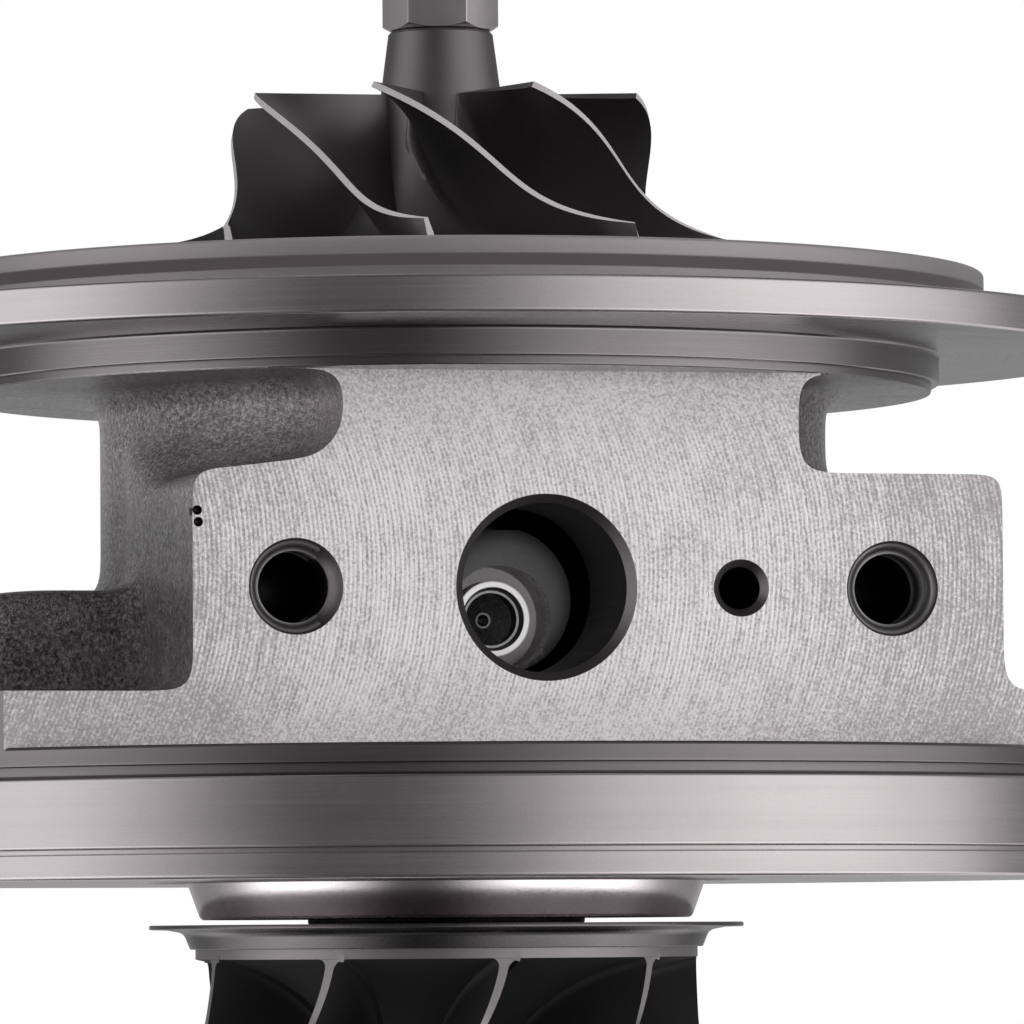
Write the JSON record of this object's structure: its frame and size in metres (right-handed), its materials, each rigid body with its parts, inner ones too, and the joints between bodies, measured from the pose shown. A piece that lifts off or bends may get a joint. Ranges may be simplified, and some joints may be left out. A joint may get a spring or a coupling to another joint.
{
  "type": "turbocharger centre cartridge",
  "caption": "Turbocharger centre cartridge: cast bearing housing with machined oil face and a spinning rotor that carries compressor and turbine wheels.",
  "frame": {"origin": "on the shaft axis, in the lower face of the turbine-side flange", "axes": "+Z along the shaft towards the compressor, -Y out of the machined oil face"},
  "size_m": [0.1326, 0.1326, 0.1287],
  "materials": {
    "cast_iron_housing": "cast skin with turned and milled faces",
    "machined_plate": "turned",
    "seal_rubber": "moulded",
    "bearing_bronze": "fine turned",
    "pressed_steel": "pressed sheet",
    "wheel_aluminium": "dark cast, tips turned bright",
    "turbine_alloy": "dark cast, rim and tips turned bright",
    "nut_steel": "turned and milled",
    "shaft_steel": "ground",
    "hardened_steel": "ground",
    "screw_steel": "black oxide"
  },
  "bodies": {
    "cartridge_housing": {"bearing_housing": "cast_iron_housing", "seal_plate": "machined_plate", "seal_plate_o_ring": "seal_rubber", "seal_plate_screw_1": "screw_steel", "seal_plate_screw_2": "screw_steel", "seal_plate_screw_3": "screw_steel", "seal_plate_screw_4": "screw_steel", "thrust_bearing": "bearing_bronze", "thrust_dowel_1": "hardened_steel", "thrust_dowel_2": "hardened_steel", "oil_baffle": "pressed_steel", "compressor_piston_ring": "hardened_steel", "turbine_piston_ring_outer": "hardened_steel", "turbine_piston_ring_inner": "hardened_steel", "journal_bearing": "bearing_bronze", "bearing_retaining_pin": "hardened_steel", "oil_gallery_plug": "hardened_steel", "heat_shield": "pressed_steel"},
    "rotor": {"rotor_shaft": "shaft_steel", "thrust_collar": "hardened_steel", "oil_flinger": "hardened_steel", "compressor_wheel": "wheel_aluminium", "lock_nut": "nut_steel", "turbine_wheel": "turbine_alloy"}
  },
  "joints": [
    {"name": "rotor_spin", "type": "hinge", "parent": "cartridge_housing", "child": "rotor", "pos_m": [0, 0, 0], "axis": [0, 0, 1], "continuous": true}
  ]
}
